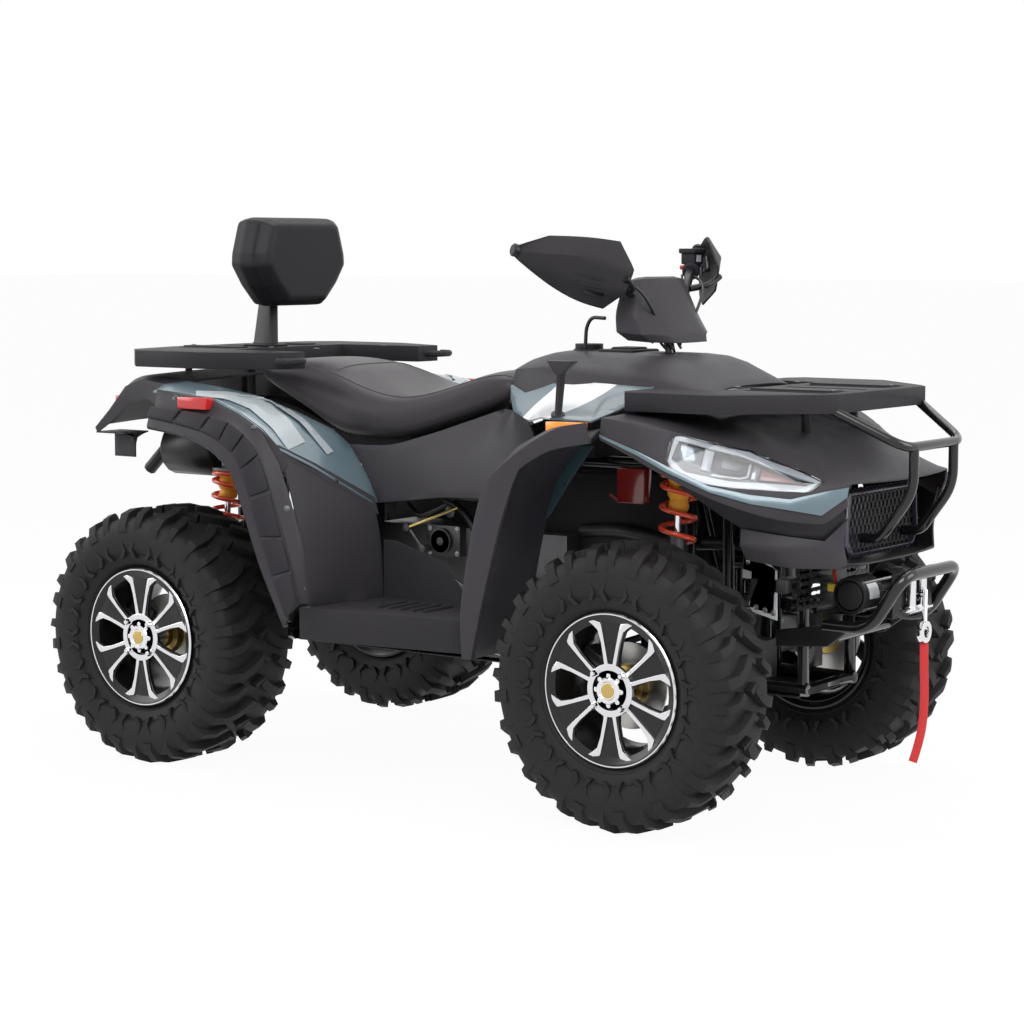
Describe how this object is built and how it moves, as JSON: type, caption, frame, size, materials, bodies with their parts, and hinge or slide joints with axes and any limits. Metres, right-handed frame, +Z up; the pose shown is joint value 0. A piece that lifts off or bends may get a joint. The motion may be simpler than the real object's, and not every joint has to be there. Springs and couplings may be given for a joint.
{
  "type": "utility quad bike",
  "caption": "Utility quad bike with racks, backrest, winch and hand guards; it steers and rolls on its lugged tyres.",
  "frame": {"origin": "on the ground, below the middle of the bike's length and width", "axes": "+X forward, +Y to the rider's left, +Z up"},
  "size_m": [2.2669, 1.184, 1.3483],
  "materials": {
    "backrest_pad": "satin vinyl",
    "backrest_post": "satin",
    "brush_guard": "gloss",
    "control_box": "satin",
    "drivetrain": "cast",
    "engine": "cast",
    "exhaust": "satin",
    "fairlead": "satin",
    "fender_brackets": "bare",
    "footrests": "grained",
    "footwell_walls": "grained",
    "frame_front": "gloss",
    "frame_lower": "gloss",
    "frame_rear": "gloss",
    "frame_upper": "gloss",
    "front_arms": "gloss",
    "front_bumper": "gloss",
    "front_fenders": "grained",
    "front_plate": "satin",
    "front_rack": "grained",
    "fuel_tank": "satin",
    "gear_lever": "satin",
    "grille": "satin",
    "grille_shroud": "satin",
    "hand_guards": "grained",
    "handlebar": "satin",
    "handlebar_pod": "grained",
    "headlamps": "clear",
    "hook_strap": "woven",
    "knuckle": "cast",
    "marker_lamps": "lens",
    "nose_fairing": "grained",
    "radiator": "finned",
    "rear_arms": "gloss",
    "rear_fenders": "grained",
    "rear_rack": "grained",
    "rim": "gloss black with bright cut faces",
    "seat": "satin vinyl",
    "seat_covers": "grained",
    "shocks": "satin",
    "side_panels": "painted",
    "skid_plate": "matt",
    "springs": "gloss",
    "steering_stem": "satin",
    "tail": "grained",
    "tank_cover": "grained",
    "tie_rod": "satin",
    "tow_hitch": "satin",
    "tyre": "matt",
    "winch": "satin",
    "winch_hook": "bright"
  },
  "bodies": {
    "chassis": {"backrest_pad": "backrest_pad", "backrest_post": "backrest_post", "brush_guard": "brush_guard", "control_box": "control_box", "drivetrain": "drivetrain", "engine": "engine", "exhaust": "exhaust", "fairlead": "fairlead", "fender_brackets": "fender_brackets", "footrests": "footrests", "footwell_walls": "footwell_walls", "frame_front": "frame_front", "frame_lower": "frame_lower", "frame_rear": "frame_rear", "frame_upper": "frame_upper", "front_arms": "front_arms", "front_bumper": "front_bumper", "front_fenders": "front_fenders", "front_plate": "front_plate", "front_rack": "front_rack", "fuel_tank": "fuel_tank", "gear_lever": "gear_lever", "grille": "grille", "grille_shroud": "grille_shroud", "headlamps": "headlamps", "hook_strap": "hook_strap", "marker_lamps": "marker_lamps", "nose_fairing": "nose_fairing", "radiator": "radiator", "rear_arms": "rear_arms", "rear_fenders": "rear_fenders", "rear_rack": "rear_rack", "seat": "seat", "seat_covers": "seat_covers", "shocks": "shocks", "side_panels": "side_panels", "skid_plate": "skid_plate", "springs": "springs", "tail": "tail", "tank_cover": "tank_cover", "tow_hitch": "tow_hitch", "winch": "winch", "winch_hook": "winch_hook"},
    "steering": {"steering_stem": "steering_stem", "handlebar": "handlebar", "hand_guards": "hand_guards", "handlebar_pod": "handlebar_pod"},
    "knuckle_left_body": {"knuckle_left": "knuckle"},
    "tie_rod_left_body": {"tie_rod_left": "tie_rod"},
    "knuckle_right_body": {"knuckle_right": "knuckle"},
    "tie_rod_right_body": {"tie_rod_right": "tie_rod"},
    "wheel_front_left": {"tyre_front_left": "tyre", "rim_front_left": "rim"},
    "wheel_front_right": {"tyre_front_right": "tyre", "rim_front_right": "rim"},
    "wheel_rear_left": {"tyre_rear_left": "tyre", "rim_rear_left": "rim"},
    "wheel_rear_right": {"tyre_rear_right": "tyre", "rim_rear_right": "rim"}
  },
  "joints": [
    {"name": "steering_turn", "type": "hinge", "parent": "chassis", "child": "steering", "pos_m": [0.6015, 0, 0.425], "axis": [-0.2563, 0, 0.9666], "range_deg": [-35, 35]},
    {"name": "knuckle_left_turn", "type": "hinge", "parent": "chassis", "child": "knuckle_left_body", "pos_m": [0.6195, 0.365, 0.3175], "axis": [0, 0, 1], "range_deg": [-28.1, 28.1]},
    {"name": "tie_rod_left_turn", "type": "hinge", "parent": "knuckle_left_body", "child": "tie_rod_left_body", "pos_m": [0.5195, 0.35, 0.37], "axis": [0, 0, 1], "range_deg": [-28.1, 28.1]},
    {"name": "wheel_front_left_spin", "type": "hinge", "parent": "knuckle_left_body", "child": "wheel_front_left", "pos_m": [0.6195, 0.4375, 0.3175], "axis": [0, 1, 0], "continuous": true},
    {"name": "wheel_rear_left_spin", "type": "hinge", "parent": "chassis", "child": "wheel_rear_left", "pos_m": [-0.7305, 0.4625, 0.3175], "axis": [0, 1, 0], "continuous": true},
    {"name": "knuckle_right_turn", "type": "hinge", "parent": "chassis", "child": "knuckle_right_body", "pos_m": [0.6195, -0.365, 0.3175], "axis": [0, 0, 1], "range_deg": [-28.1, 28.1]},
    {"name": "tie_rod_right_turn", "type": "hinge", "parent": "knuckle_right_body", "child": "tie_rod_right_body", "pos_m": [0.5195, -0.35, 0.37], "axis": [0, 0, 1], "range_deg": [-28.1, 28.1]},
    {"name": "wheel_front_right_spin", "type": "hinge", "parent": "knuckle_right_body", "child": "wheel_front_right", "pos_m": [0.6195, -0.4375, 0.3175], "axis": [0, 1, 0], "continuous": true},
    {"name": "wheel_rear_right_spin", "type": "hinge", "parent": "chassis", "child": "wheel_rear_right", "pos_m": [-0.7305, -0.4625, 0.3175], "axis": [0, 1, 0], "continuous": true}
  ],
  "couplings": [
    {"joint": "knuckle_left_turn", "follows": "steering_turn", "ratio": 0.8},
    {"joint": "tie_rod_left_turn", "follows": "steering_turn", "ratio": -0.8},
    {"joint": "knuckle_right_turn", "follows": "steering_turn", "ratio": 0.8},
    {"joint": "tie_rod_right_turn", "follows": "steering_turn", "ratio": -0.8}
  ]
}
